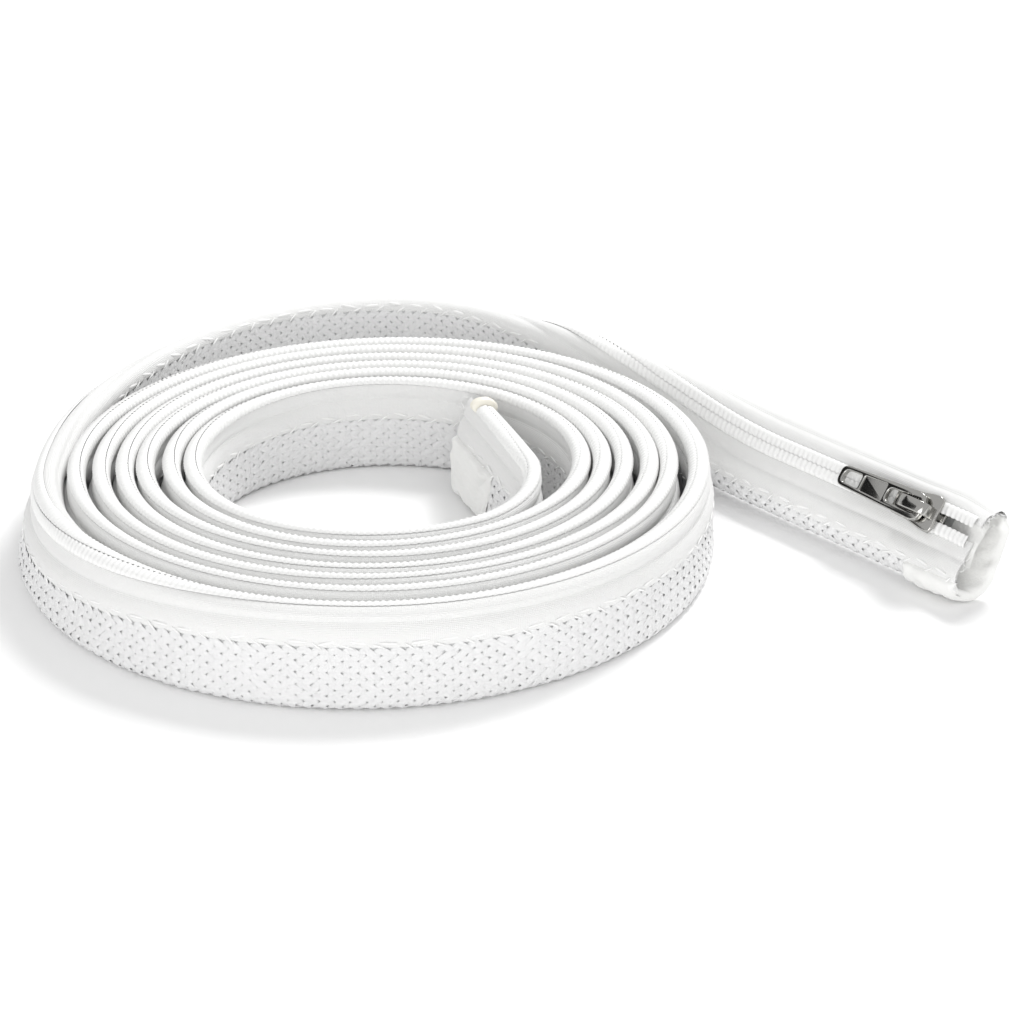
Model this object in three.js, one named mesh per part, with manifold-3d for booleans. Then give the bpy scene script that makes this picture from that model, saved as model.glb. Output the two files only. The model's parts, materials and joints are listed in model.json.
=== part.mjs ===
// A zippered cable sleeve: a braided tube with a nylon coil zip sewn into it, wound on its edge
// into a flat coil. The outer end leaves the coil and runs straight to its open mouth, where the
// slider sits with its pull tab laid back along the closed zip.
// Units are millimetres. +Z is up, the straight tail and the mouth point along +X, and the
// origin is under the middle of the whole coil, on the surface that it stands on.
import * as THREE from "three";
import { mergeVertices } from "three/addons/utils/BufferGeometryUtils.js";
import Module from "manifold-3d";

const wasm = await Module();
wasm.setup();

// The sleeve's own sizes
const HALF_ROUND_COIL = 18.6; // half of the way round the braid in the tight turns
const HALF_ROUND_LAST = 19.4; // the same on the looser last turn
const HALF_ROUND_TAIL = 20.2; // and on the tail, where the braid has opened
const BRAID_WALL = 0.7;
const TAPE_THICKNESS = 0.4; // its outer face lies just above the middle of the braid's wall
const TAPE_RISE = 0.05;
const TAPE_INNER_EDGE = 1.0; // each tape starts this far from the middle of the zip
const TAPE_OUTER_EDGE = 8.6; // and is sewn to the braid at this distance
const SEAM_GAP = 0.3;
const COIL_WIDTH = 1.5; // one nylon coil, flattened
const COIL_HEIGHT = 0.4;
const COIL_INNER_EDGE = 0.2;
const COIL_GAP = 0.3; // between a coil and the tape that carries it

// How the sleeve lies: the coil
const EYE_RADIUS = 31.7; // top edge of the innermost turn where it begins
const TURN_PITCH = 3.95;
const COIL_ANGLE = 2285; // degrees, from the inner flap to where the tail leaves
const STEPS_PER_TURN = 18;
const FINE_ANGLE = 100; // over the last of the coil, where the zip rolls, the steps are halved
const LAST_TURN_BULGE = 0.8; // how far the last turn stands off the others at its loosest
const LAST_TURN_LOOSE = 0.7; // and where the tail leaves it
const THICK_COIL = 2.2; // across the flattened braid, middle of wall to middle of wall
const THICK_LAST = 4.2;
const LEAN_MEAN = 10.5; // degrees, the foot of the last turn stands further out than its top
const LEAN_SWING = 7;
const LEAN_PHASE = 21;
const ZIP_SHIFT_MEAN = 0.3; // middle of the zip from the top edge, negative towards the outside
const ZIP_SHIFT_SWING = 1.3;
const ZIP_SHIFT_ROLL = -3.8; // what the last quarter turn adds, where the sleeve rolls outwards

// The inner flap, which crosses the eye of the coil
const FLAP_RADIUS = 20;
const FLAP_ANGLE = 75;
const FLAP_STRAIGHT = 30;
const FLAP_LEAN = -14;
const THICK_FLAP_END = 3;
const END_HEM_LENGTH = 19;

// The tail: radius of its bend at given distances from where it leaves the coil
const TAIL_BENDS = [
  { at: 0, radius: 74.6 },
  { at: 30, radius: 87.4 },
  { at: 60, radius: 85.2 },
  { at: 95, radius: 38.8 },
  { at: 120, radius: 44.8 },
  { at: 150, radius: 229 },
  { at: 184, radius: Infinity },
];
const TAIL_LENGTH = 251;
const TAIL_STEP = 8;
const EVEN_LENGTH = 48; // last stretch of the tail, where its section stays the same
const TAIL_LEAN = -36;
const BOW_ZIP_SHIFT = -6.5; // zip's shift on the free bow behind the coil
const BOW_LENGTH = 80; // reached at this distance
const TAIL_ZIP_SHIFT = 7.6;
const THICK_TAIL = 5.8;
const THICK_MOUTH = 8.4;
const FLARE_LENGTH = 8; // the mouth opens over this length
const SETTLE_LENGTH = 60; // the last turn's lean fades over this length of the tail
const ROLL_START = 110; // from here to the even stretch the zip rolls over to the inner side
const TWIST_START = 140; // and from here the tail leans and widens
const MOUTH_HEM_LENGTH = 12.6;

// Hems at both ends
const HEM_THICKNESS = 0.8;
const HEM_GAP = 0.3; // between the braid and the cloth folded over it
const HEM_RIM = 1.1; // fold of the hem beyond the end of the braid
const HEM_EDGE = 9.2; // its edges lie this far from the middle of the zip
const HEM_STEP = 0.1;

// The zip's ends
const STOP_LENGTH = 2.4;
const STOP_WIDTH = 4.6;
const STOP_HEIGHT = 1.7;
const STOP_FROM_END = 4;
const COIL_MOUTH_MARGIN = 1.6; // the coils end this far inside the mouth
const COIL_SPREAD = 0.8; // how far the slider parts each coil
const SPREAD_START = 6.2; // behind the slider's nose
const SPREAD_END = 2.2;

// The slider, nose at x = 0, middle of the tapes at z = 0, width along y
const NOSE_FROM_MOUTH = 9.4;
const SLIDER_LENGTH = 9.6;
const SLIDER_CLEARANCE = 0.3;
const PLATE = 0.85;
const FLANGE = 0.55;
const NOSE_ROUND = 1.6;
const TAIL_ROUND = 0.7;
const WEDGE_HALF = 0.65;
const WEDGE_LENGTH = 5;
const WEDGE_NOSE = 2.4; // length of its parallel front part
const LOCK_HOLE = { x: -6.5, length: 1.4, width: 1.2 };

// The bridge over the slider, which holds the pull tab
const BRIDGE = { front: -0.9, back: -8.3, width: 2.2, height: 2.9, bar: 0.75, foot: 0.8 };
const BRIDGE_GAP = 0.1;
const EYE_BAR_FROM_BRIDGE = 1.05; // middle of the tab's end bar behind the bridge's front foot

// The locking leaf under the bridge
const LEAF = { thickness: 0.3, width: 1.0, length: 3.0, pin: 0.7 };
const LEAF_GAP = 0.15;

// The pull tab
const TAB_LENGTH = 20;
const TAB_THICKNESS = 1.1;
const TAB_EYE_WIDTH = 5.4;
const TAB_TIP_WIDTH = 3.8;
const TAB_BAR = 1.3; // metal round the eye
const TAB_EYE_LENGTH = 7.4;
const TAB_WINDOW = { fromTip: 1.0, length: 4.0, rim: 0.8 };
const TAB_PANEL = { length: 4.6, depth: 0.25, rim: 0.75, fromWindow: 0.9 };
const TAB_BEVEL = 0.2;
const TAB_DROP = 2.5; // degrees, the tab's tip rests nearer to the zip than its eye

const { degToRad, smoothstep, clamp, lerp } = THREE.MathUtils;

// Where a section stands: plan place and heading, and what the section looks like there.
// lean turns the long axis of the section, with positive values moving its foot outwards.
const sectionHeight = (thick, half) => half - (Math.PI * thick) / 2 + thick + BRAID_WALL;

function coilPlan(turned) {
  const last = clamp((turned - COIL_ANGLE + 360) / 360, 0, 1);
  const open = smoothstep(turned, COIL_ANGLE - 360, COIL_ANGLE);
  const back = degToRad(COIL_ANGLE - turned);
  const swing = Math.cos(back + degToRad(LEAN_PHASE));
  const lean = degToRad((turned / COIL_ANGLE) * (LEAN_MEAN + LEAN_SWING * swing));
  const thick = lerp(THICK_COIL, THICK_LAST, open);
  const half = lerp(HALF_ROUND_COIL, HALF_ROUND_LAST, open);
  const loose =
    LAST_TURN_LOOSE * smoothstep(last, 0, 1) + LAST_TURN_BULGE * Math.sin(Math.PI * last) ** 2;
  const topEdge = EYE_RADIUS + (TURN_PITCH * turned) / 360 + loose;
  const radius = topEdge + (sectionHeight(thick, half) / 2) * Math.sin(lean);
  const roll = ZIP_SHIFT_ROLL * smoothstep(turned, COIL_ANGLE - 90, COIL_ANGLE);
  const shift = ZIP_SHIFT_MEAN + ZIP_SHIFT_SWING * Math.sin(back) + roll;
  return { radius, lean, thick, half, shift, lift: 0 };
}

// One station of the coil, wound clockwise seen from above.
function coilStation(turned) {
  const plan = coilPlan(turned);
  const growth = (coilPlan(turned + 1).radius - coilPlan(turned - 1).radius) / degToRad(2);
  const angle = -degToRad(turned);
  return {
    ...plan,
    x: plan.radius * Math.cos(angle),
    y: plan.radius * Math.sin(angle),
    heading: angle - Math.PI / 2 + Math.atan2(growth, plan.radius),
  };
}

// Stations of the inner flap, from its end to the start of the coil. It is laid out walking
// inwards: an arc that turns away from the coil's wall, then a straight.
function flapStations(start) {
  const inward = start.heading + Math.PI;
  const arc = degToRad(FLAP_ANGLE);
  const whole = arc * FLAP_RADIUS + FLAP_STRAIGHT;
  const at = (distance) => {
    const bent = Math.min(distance / FLAP_RADIUS, arc);
    const along = Math.max(distance - arc * FLAP_RADIUS, 0);
    const way = inward + bent;
    const part = smoothstep(distance, 0, whole);
    const side = (angle) => [Math.sin(angle) * FLAP_RADIUS, -Math.cos(angle) * FLAP_RADIUS];
    const [x0, y0] = side(inward);
    const [x1, y1] = side(way);
    return {
      x: start.x - x0 + x1 + along * Math.cos(way),
      y: start.y - y0 + y1 + along * Math.sin(way),
      heading: way - Math.PI,
      lean: degToRad(FLAP_LEAN) * part,
      thick: lerp(THICK_COIL, THICK_FLAP_END, part),
      half: HALF_ROUND_COIL,
      shift: start.shift * (1 - part),
      lift: (HEM_GAP + HEM_THICKNESS) * smoothstep(distance, 0, arc * FLAP_RADIUS),
      fromEnd: whole - distance,
    };
  };
  const ends = [0, HEM_RIM, HEM_RIM + HEM_STEP, STOP_FROM_END, STOP_FROM_END + STOP_LENGTH];
  ends.push(STOP_FROM_END + STOP_LENGTH + COIL_GAP, END_HEM_LENGTH);
  const straight = ends.map((fromEnd) => whole - fromEnd);
  const bends = Array.from({ length: 5 }, (_, i) => ((5 - i) / 5) * arc * FLAP_RADIUS);
  return [...straight, ...bends].map(at);
}

// Radius of the tail's bend as a curvature, straight-line between the given places.
function tailCurvature(distance) {
  const next = TAIL_BENDS.findIndex((bend) => bend.at > distance);
  if (next < 0) return 1 / TAIL_BENDS.at(-1).radius;
  const [a, b] = [TAIL_BENDS[next - 1], TAIL_BENDS[next]];
  return lerp(1 / a.radius, 1 / b.radius, (distance - a.at) / (b.at - a.at));
}

// Stations of the tail, from the coil to the mouth, with the route summed in short steps.
function tailStations(start) {
  const even = TAIL_LENGTH - EVEN_LENGTH;
  const nose = TAIL_LENGTH - NOSE_FROM_MOUTH;
  const flare = TAIL_LENGTH - FLARE_LENGTH;
  const stops = [];
  for (let d = TAIL_STEP; d < even - TAIL_STEP / 2; d += TAIL_STEP) stops.push(d);
  stops.push(even, nose - SPREAD_START, TAIL_LENGTH - MOUTH_HEM_LENGTH, nose - SPREAD_END);
  stops.push(flare, flare + FLARE_LENGTH / 3, flare + (FLARE_LENGTH * 2) / 3);
  stops.push(TAIL_LENGTH - HEM_RIM - HEM_STEP, TAIL_LENGTH - HEM_RIM, TAIL_LENGTH);
  stops.sort((a, b) => a - b);
  const stations = [];
  let [x, y, heading, distance] = [start.x, start.y, start.heading, 0];
  for (const stop of stops) {
    const steps = Math.ceil(stop - distance);
    const step = (stop - distance) / steps;
    for (let i = 0; i < steps; i++) {
      const turn = tailCurvature(distance + step / 2) * step;
      x += Math.cos(heading - turn / 2) * step;
      y += Math.sin(heading - turn / 2) * step;
      heading -= turn;
      distance += step;
    }
    distance = stop;
    const settle = smoothstep(stop, 0, SETTLE_LENGTH);
    const roll = smoothstep(stop, ROLL_START, even);
    const twist = smoothstep(stop, TWIST_START, even);
    const flaring = smoothstep(stop, flare, TAIL_LENGTH);
    const bowShift = lerp(start.shift, BOW_ZIP_SHIFT, smoothstep(stop, 0, BOW_LENGTH));
    stations.push({
      x,
      y,
      heading,
      lean: start.lean * (1 - settle) + degToRad(TAIL_LEAN) * twist,
      thick: lerp(lerp(THICK_LAST, THICK_TAIL, twist), THICK_MOUTH, flaring),
      half: lerp(HALF_ROUND_LAST, HALF_ROUND_TAIL, smoothstep(stop, 0, even)),
      shift: lerp(bowShift, TAIL_ZIP_SHIFT, roll),
      lift: (HEM_GAP + HEM_THICKNESS) * smoothstep(stop, ROLL_START, even),
      fromMouth: TAIL_LENGTH - stop,
    });
  }
  return stations;
}

// All stations from the inner end to the mouth, turned so that the tail runs along +X.
function layOut() {
  const coil = [];
  const step = 360 / STEPS_PER_TURN;
  for (let turned = 0; turned < COIL_ANGLE - 1; ) {
    coil.push(coilStation(turned));
    turned += turned < COIL_ANGLE - FINE_ANGLE ? step : step / 2;
  }
  const leave = coilStation(COIL_ANGLE);
  const stations = [...flapStations(coil[0]), ...coil, leave, ...tailStations(leave)];
  const turn = -stations.at(-1).heading;
  const [c, s] = [Math.cos(turn), Math.sin(turn)];
  for (const st of stations) {
    [st.x, st.y] = [st.x * c - st.y * s, st.x * s + st.y * c];
    st.heading += turn;
  }
  return stations;
}

const STATIONS = layOut();
const flapEnd = STATIONS[0].fromEnd;
const within = (low, high) => (st) =>
  (st.fromEnd === undefined || st.fromEnd >= low - 1e-6) &&
  (st.fromMouth === undefined || st.fromMouth >= high - 1e-6);

// A point of the sleeve. round is the distance round its middle surface from the top edge,
// positive towards the inside of the coil, and out is the distance outwards from that surface.
function point(st, round, out) {
  const { half, thick, lean } = st;
  const r = thick / 2;
  const quarter = (Math.PI * r) / 2;
  const flat = half - 2 * quarter;
  const u = THREE.MathUtils.euclideanModulo(round + half, 2 * half) - half;
  const v = Math.abs(u);
  let up = flat / 2 - (v - quarter);
  let side = r + out;
  if (v < quarter) {
    up = flat / 2 + (r + out) * Math.cos(v / r);
    side = (r + out) * Math.sin(v / r);
  } else if (v > quarter + flat) {
    up = -flat / 2 - (r + out) * Math.sin((v - quarter - flat) / r);
    side = (r + out) * Math.cos((v - quarter - flat) / r);
  }
  if (u < 0) side = -side;
  const middle = (flat / 2) * Math.cos(lean) + r + BRAID_WALL / 2 + st.lift;
  const outwards = -up * Math.sin(lean) - side * Math.cos(lean);
  return [
    st.x - Math.sin(st.heading) * outwards,
    st.y + Math.cos(st.heading) * outwards,
    middle + up * Math.cos(lean) - side * Math.sin(lean),
  ];
}

// A sheet that follows the stations: across(st) lists the points over it from edge to edge, and
// levels(st) gives its lower and upper face as distances from the sleeve's middle surface.
function sheet(stations, across, levels) {
  const positions = [];
  const faces = [];
  const quad = (a, b, c, d) => faces.push(a, b, c, b, d, c);
  let n = 0;
  for (const st of stations) {
    const rounds = across(st);
    const [low, high] = levels(st);
    n = rounds.length;
    for (const level of [high, low]) {
      for (const round of rounds) positions.push(...point(st, round, level));
    }
  }
  const outer = (k, j) => k * 2 * n + j;
  const inner = (k, j) => k * 2 * n + n + j;
  for (let k = 0; k + 1 < stations.length; k++) {
    for (let j = 0; j + 1 < n; j++) {
      quad(outer(k, j), outer(k, j + 1), outer(k + 1, j), outer(k + 1, j + 1));
      quad(inner(k, j + 1), inner(k, j), inner(k + 1, j + 1), inner(k + 1, j));
    }
    quad(inner(k, 0), outer(k, 0), inner(k + 1, 0), outer(k + 1, 0));
    quad(outer(k, n - 1), inner(k, n - 1), outer(k + 1, n - 1), inner(k + 1, n - 1));
  }
  const end = stations.length - 1;
  for (let j = 0; j + 1 < n; j++) {
    quad(inner(0, j), inner(0, j + 1), outer(0, j), outer(0, j + 1));
    quad(inner(end, j + 1), inner(end, j), outer(end, j + 1), outer(end, j));
  }
  const geometry = new THREE.BufferGeometry();
  geometry.setAttribute("position", new THREE.Float32BufferAttribute(positions, 3));
  geometry.setIndex(faces);
  geometry.computeVertexNormals();
  return geometry;
}

const spaced = (from, to, count) =>
  Array.from({ length: count }, (_, i) => lerp(from, to, i / (count - 1)));

// Points round the sleeve from one place to another, closer together where the section bends.
const BRAID_POINTS = 9;
const BRAID_BENDS = 1.6;
const TAPE_POINTS = 5;
const TAPE_BENDS = 4;
function roundTheSleeve(st, from, to, count, bendWeight) {
  const quarter = (Math.PI * st.thick) / 4;
  const flat = st.half - 2 * quarter;
  const bends = (u) => {
    const v = Math.abs(THREE.MathUtils.euclideanModulo(u + st.half, 2 * st.half) - st.half);
    return v < quarter || v > quarter + flat;
  };
  const fine = spaced(from, to, 241);
  const reach = [0];
  for (let i = 1; i < fine.length; i++) {
    const weight = bends((fine[i] + fine[i - 1]) / 2) ? bendWeight : 1;
    reach.push(reach[i - 1] + weight);
  }
  return spaced(0, reach.at(-1), count).map((goal) => {
    const i = Math.max(reach.findIndex((value) => value >= goal - 1e-9), 1);
    return lerp(fine[i - 1], fine[i], (goal - reach[i - 1]) / (reach[i] - reach[i - 1]));
  });
}

function roundTheBraid(st, edge) {
  const to = st.shift + 2 * st.half - edge;
  return roundTheSleeve(st, st.shift + edge, to, BRAID_POINTS, BRAID_BENDS);
}

// How far each side of the zip is pushed from the middle line by the slider's wedge.
function spread(st) {
  if (st.fromMouth === undefined) return 0;
  const behindNose = st.fromMouth - NOSE_FROM_MOUTH;
  return COIL_SPREAD * (1 - smoothstep(behindNose, SPREAD_END, SPREAD_START));
}

const TAPE_TOP = TAPE_RISE;
const TAPE_BOTTOM = TAPE_RISE - TAPE_THICKNESS;
const COIL_BASE = TAPE_TOP + COIL_GAP;
const COIL_TOP = COIL_BASE + COIL_HEIGHT;

function braid() {
  const stations = STATIONS.filter(within(HEM_RIM + HEM_STEP, HEM_RIM + HEM_STEP));
  const across = (st) => roundTheBraid(st, TAPE_OUTER_EDGE + SEAM_GAP);
  return sheet(stations, across, () => [-BRAID_WALL / 2, BRAID_WALL / 2]);
}

// side is 1 for the tape nearer to the inside of the coil and -1 for the other.
function tape(side) {
  const stations = STATIONS.filter(within(HEM_RIM + HEM_STEP, HEM_RIM + HEM_STEP));
  const across = (st) => {
    const near = st.shift + side * (TAPE_INNER_EDGE + spread(st));
    const far = st.shift + side * TAPE_OUTER_EDGE;
    const ends = side > 0 ? [near, far] : [far, near];
    return roundTheSleeve(st, ...ends, TAPE_POINTS, TAPE_BENDS);
  };
  return sheet(stations, across, () => [TAPE_BOTTOM, TAPE_TOP]);
}

function coilStrand(side) {
  const first = STOP_FROM_END + STOP_LENGTH + COIL_GAP;
  const stations = STATIONS.filter(within(first, COIL_MOUTH_MARGIN));
  const across = (st) => {
    const near = COIL_INNER_EDGE + spread(st);
    const ends = [st.shift + side * near, st.shift + side * (near + COIL_WIDTH)];
    return spaced(Math.min(...ends), Math.max(...ends), 3);
  };
  return sheet(stations, across, () => [COIL_BASE, COIL_TOP]);
}

// A hem: cloth over the outside of the braid, folded over its end in a thicker rim.
function hem(stations, fromRim) {
  const low = BRAID_WALL / 2 + HEM_GAP;
  const high = low + HEM_THICKNESS;
  const levels = (st) => [fromRim(st) <= HEM_RIM - 1e-6 || fromRim(st) < 1e-6 ? -low : low, high];
  return sheet(stations, (st) => roundTheBraid(st, HEM_EDGE), levels);
}

const group = new THREE.Group();
const MATERIALS = {
  braid: { color: 0xf1f1f0, roughness: 0.6 },
  tape: { color: 0xf4f4f3, roughness: 0.75 },
  coil: { color: 0xf6f6f5, roughness: 0.45 },
  hem: { color: 0xf3f3f1, roughness: 0.8 },
  stop: { color: 0xf0ead2, roughness: 0.4 },
  nickel: { color: 0xb9bab8, roughness: 0.25, metalness: 1 },
};

function add(parent, name, geometry, material) {
  const mesh = new THREE.Mesh(geometry, new THREE.MeshStandardMaterial(MATERIALS[material]));
  mesh.name = name;
  parent.add(mesh);
  return mesh;
}

// Joins and cuts of closed meshes.
function solid(geometry) {
  const bare = geometry.clone();
  bare.deleteAttribute("normal");
  bare.deleteAttribute("uv");
  const merged = mergeVertices(bare, 1e-4);
  const source = { numProp: 3, vertProperties: merged.attributes.position.array };
  source.triVerts = new Uint32Array(merged.index.array);
  return new wasm.Manifold(new wasm.Mesh(source));
}

function geometryOf(manifold) {
  const mesh = manifold.getMesh();
  const geometry = new THREE.BufferGeometry();
  const positions = new THREE.Float32BufferAttribute(mesh.vertProperties, 3);
  geometry.setAttribute("position", positions);
  geometry.setIndex([...mesh.triVerts]);
  geometry.computeVertexNormals();
  return geometry;
}

// A flat outline in x and y with rounded corners: half widths at its back and front.
function taperedOutline(back, front, halfBack, halfFront, roundBack, roundFront) {
  const shape = new THREE.Shape();
  const slope = (halfFront - halfBack) / (front - back);
  const edge = (x) => halfBack + slope * (x - back);
  shape.moveTo(back, -halfBack + roundBack);
  shape.quadraticCurveTo(back, -halfBack, back + roundBack, -edge(back + roundBack));
  shape.lineTo(front - roundFront, -edge(front - roundFront));
  shape.quadraticCurveTo(front, -halfFront, front, -halfFront + roundFront);
  shape.lineTo(front, halfFront - roundFront);
  shape.quadraticCurveTo(front, halfFront, front - roundFront, edge(front - roundFront));
  shape.lineTo(back + roundBack, edge(back + roundBack));
  shape.quadraticCurveTo(back, halfBack, back, halfBack - roundBack);
  return shape;
}

function slab(shape, bottom, top, segments = 4) {
  const options = { depth: top - bottom, bevelEnabled: false, curveSegments: segments };
  return new THREE.ExtrudeGeometry(shape, options).translate(0, 0, bottom);
}

// Levels in the slider: tapes pass between the plates' lips, coils in the channel above them.
const SLOT_TOP = TAPE_TOP + SLIDER_CLEARANCE;
const SLOT_BOTTOM = TAPE_BOTTOM - SLIDER_CLEARANCE;
const CHANNEL_TOP = COIL_TOP + SLIDER_CLEARANCE;
const PLATE_TOP = CHANNEL_TOP + PLATE;
const HALF_AT_TAIL = COIL_INNER_EDGE + COIL_WIDTH + SLIDER_CLEARANCE + FLANGE;
const HALF_AT_NOSE = HALF_AT_TAIL + COIL_SPREAD;

// The cast body: two plates, the wedge that joins them at the nose, and the upper plate's lips.
function sliderBody() {
  const [back, front] = [HALF_AT_TAIL, HALF_AT_NOSE];
  const outline = taperedOutline(-SLIDER_LENGTH, 0, back, front, TAIL_ROUND, NOSE_ROUND);
  const upper = solid(slab(outline, SLOT_TOP, PLATE_TOP));
  const lower = solid(slab(outline, SLOT_BOTTOM - PLATE, SLOT_BOTTOM));
  const over = SLIDER_LENGTH / 2;
  const channelShape = new THREE.Shape([
    new THREE.Vector2(-SLIDER_LENGTH - over, FLANGE - HALF_AT_TAIL),
    new THREE.Vector2(-SPREAD_START, FLANGE - HALF_AT_TAIL),
    new THREE.Vector2(-SPREAD_END, FLANGE - HALF_AT_NOSE),
    new THREE.Vector2(over, FLANGE - HALF_AT_NOSE),
    new THREE.Vector2(over, HALF_AT_NOSE - FLANGE),
    new THREE.Vector2(-SPREAD_END, HALF_AT_NOSE - FLANGE),
    new THREE.Vector2(-SPREAD_START, HALF_AT_TAIL - FLANGE),
    new THREE.Vector2(-SLIDER_LENGTH - over, HALF_AT_TAIL - FLANGE),
  ]);
  const channel = solid(slab(channelShape, SLOT_BOTTOM, CHANNEL_TOP));
  const wedgeShape = new THREE.Shape([
    new THREE.Vector2(-WEDGE_LENGTH, 0),
    new THREE.Vector2(-WEDGE_NOSE, -WEDGE_HALF),
    new THREE.Vector2(-WEDGE_NOSE / 6, -WEDGE_HALF),
    new THREE.Vector2(-WEDGE_NOSE / 6, WEDGE_HALF),
    new THREE.Vector2(-WEDGE_NOSE, WEDGE_HALF),
  ]);
  const sink = PLATE / 2;
  const wedge = solid(slab(wedgeShape, SLOT_BOTTOM - sink, CHANNEL_TOP + sink));
  const hole = new THREE.BoxGeometry(LOCK_HOLE.length, LOCK_HOLE.width, 2 * PLATE);
  hole.translate(LOCK_HOLE.x, 0, CHANNEL_TOP + PLATE / 2);
  return geometryOf(upper.subtract(channel).add(lower).add(wedge).subtract(solid(hole)));
}

// The bridge: a bent strip with a foot at each end, drawn in x and z and given its width in y.
const BRIDGE_BASE = PLATE_TOP + BRIDGE_GAP;
const BRIDGE_TOP = PLATE_TOP + BRIDGE.height;
function bridge() {
  const { front, back, bar, foot, width } = BRIDGE;
  const rise = BRIDGE_TOP - BRIDGE_BASE;
  const outer = new THREE.Shape();
  outer.moveTo(back, BRIDGE_BASE);
  outer.quadraticCurveTo(back + foot / 2, BRIDGE_TOP, back + rise, BRIDGE_TOP);
  outer.lineTo(front - rise / 2, BRIDGE_TOP);
  outer.quadraticCurveTo(front, BRIDGE_TOP, front, BRIDGE_BASE + rise / 3);
  outer.lineTo(front, BRIDGE_BASE);
  outer.lineTo(front - foot, BRIDGE_BASE);
  outer.lineTo(front - foot, BRIDGE_TOP - bar);
  outer.lineTo(back + rise, BRIDGE_TOP - bar);
  outer.quadraticCurveTo(back + foot * 1.5, BRIDGE_TOP - bar, back + foot * 1.25, BRIDGE_BASE);
  outer.lineTo(back, BRIDGE_BASE);
  const strip = slab(outer, -width / 2, width / 2, 5);
  return strip.rotateX(Math.PI / 2);
}

// The locking leaf lies on the plate under the bridge, its pin down through the plate's hole.
function lockingLeaf() {
  const base = PLATE_TOP + LEAF_GAP;
  const leaf = new THREE.BoxGeometry(LEAF.length, LEAF.width, LEAF.thickness);
  const start = LOCK_HOLE.x - LEAF.pin / 2;
  leaf.translate(start + LEAF.length / 2, 0, base + LEAF.thickness / 2);
  const depth = base - COIL_TOP - LEAF_GAP;
  const sink = LEAF.thickness / 2;
  const pin = new THREE.BoxGeometry(LEAF.pin, LEAF.width * 0.8, depth + sink);
  pin.translate(LOCK_HOLE.x, 0, base + sink - (depth + sink) / 2);
  return geometryOf(solid(leaf).add(solid(pin)));
}

// The pull tab in its own frame: the eye's end bar turns about the origin, the tip points to -x.
function pullTab() {
  const front = TAB_BAR / 2;
  const back = front - TAB_LENGTH;
  const halfEye = TAB_EYE_WIDTH / 2;
  const halfTip = TAB_TIP_WIDTH / 2;
  const halfAt = (x) => lerp(halfTip, halfEye, (x - back) / TAB_LENGTH);
  const outline = taperedOutline(
    back + TAB_BEVEL,
    front - TAB_BEVEL,
    halfTip - TAB_BEVEL,
    halfEye - TAB_BEVEL,
    halfTip * 0.6,
    halfEye * 0.75
  );
  const depth = TAB_THICKNESS - 2 * TAB_BEVEL;
  const options = { depth, bevelThickness: TAB_BEVEL, bevelSize: TAB_BEVEL, bevelSegments: 1 };
  const plate = new THREE.ExtrudeGeometry(outline, { ...options, curveSegments: 4 });
  plate.translate(0, 0, -depth / 2);
  const eyeBack = front - TAB_BAR - TAB_EYE_LENGTH;
  const hole = (from, to, inset, round) =>
    taperedOutline(from, to, halfAt(from) - inset, halfAt(to) - inset, round, round);
  const eye = hole(eyeBack, front - TAB_BAR, TAB_BAR - TAB_BEVEL, TAB_BAR * 0.6);
  const windowBack = back + TAB_WINDOW.fromTip;
  const windowFront = windowBack + TAB_WINDOW.length;
  const opening = hole(windowBack, windowFront, TAB_WINDOW.rim, halfTip * 0.4);
  const panelBack = windowFront + TAB_PANEL.fromWindow;
  const panel = hole(panelBack, panelBack + TAB_PANEL.length, TAB_PANEL.rim, TAB_BEVEL);
  let body = solid(plate);
  for (const shape of [eye, opening]) body = body.subtract(solid(slab(shape, -1, 1, 3)));
  const floor = TAB_THICKNESS / 2 - TAB_PANEL.depth;
  return geometryOf(body.subtract(solid(slab(panel, floor, 1, 2))));
}

add(group, "braid", braid(), "braid");
add(group, "zip_tape_outer", tape(-1), "tape");
add(group, "zip_tape_inner", tape(1), "tape");
add(group, "zip_coil_outer", coilStrand(-1), "coil");
add(group, "zip_coil_inner", coilStrand(1), "coil");

const mouthStations = STATIONS.filter((st) => st.fromMouth <= MOUTH_HEM_LENGTH + 1e-6);
add(group, "mouth_hem", hem(mouthStations, (st) => st.fromMouth), "hem");
const flapStationsOfHem = STATIONS.filter((st) => st.fromEnd <= END_HEM_LENGTH + 1e-6);
add(group, "end_hem", hem(flapStationsOfHem, (st) => st.fromEnd), "hem");

const stopStations = STATIONS.filter(
  (st) => st.fromEnd >= STOP_FROM_END - 1e-6 && st.fromEnd <= STOP_FROM_END + STOP_LENGTH + 1e-6
);
const overTheZip = (st) => spaced(st.shift - STOP_WIDTH / 2, st.shift + STOP_WIDTH / 2, 5);
const stopLevels = () => [COIL_BASE, COIL_BASE + STOP_HEIGHT];
add(group, "zip_end_stop", sheet(stopStations, overTheZip, stopLevels), "stop");

// The slider stands on the even stretch of the tail, square to the side that the zip lies on.
const evenStation = STATIONS.find((st) => Math.abs(st.fromMouth - EVEN_LENGTH) < 1e-6);
const onZip = new THREE.Vector3(...point(evenStation, TAIL_ZIP_SHIFT, 0));
const outOfZip = new THREE.Vector3(...point(evenStation, TAIL_ZIP_SHIFT, 1)).sub(onZip);
const along = new THREE.Vector3(1, 0, 0);
const across = new THREE.Vector3().crossVectors(outOfZip, along);
const slider = new THREE.Group();
slider.setRotationFromMatrix(new THREE.Matrix4().makeBasis(along, across, outOfZip));
slider.position.copy(onZip).addScaledVector(along, EVEN_LENGTH - NOSE_FROM_MOUTH);
group.add(slider);
add(slider, "slider_body", sliderBody(), "nickel");
add(slider, "slider_bridge", bridge(), "nickel");
add(slider, "locking_leaf", lockingLeaf(), "nickel");

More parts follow.
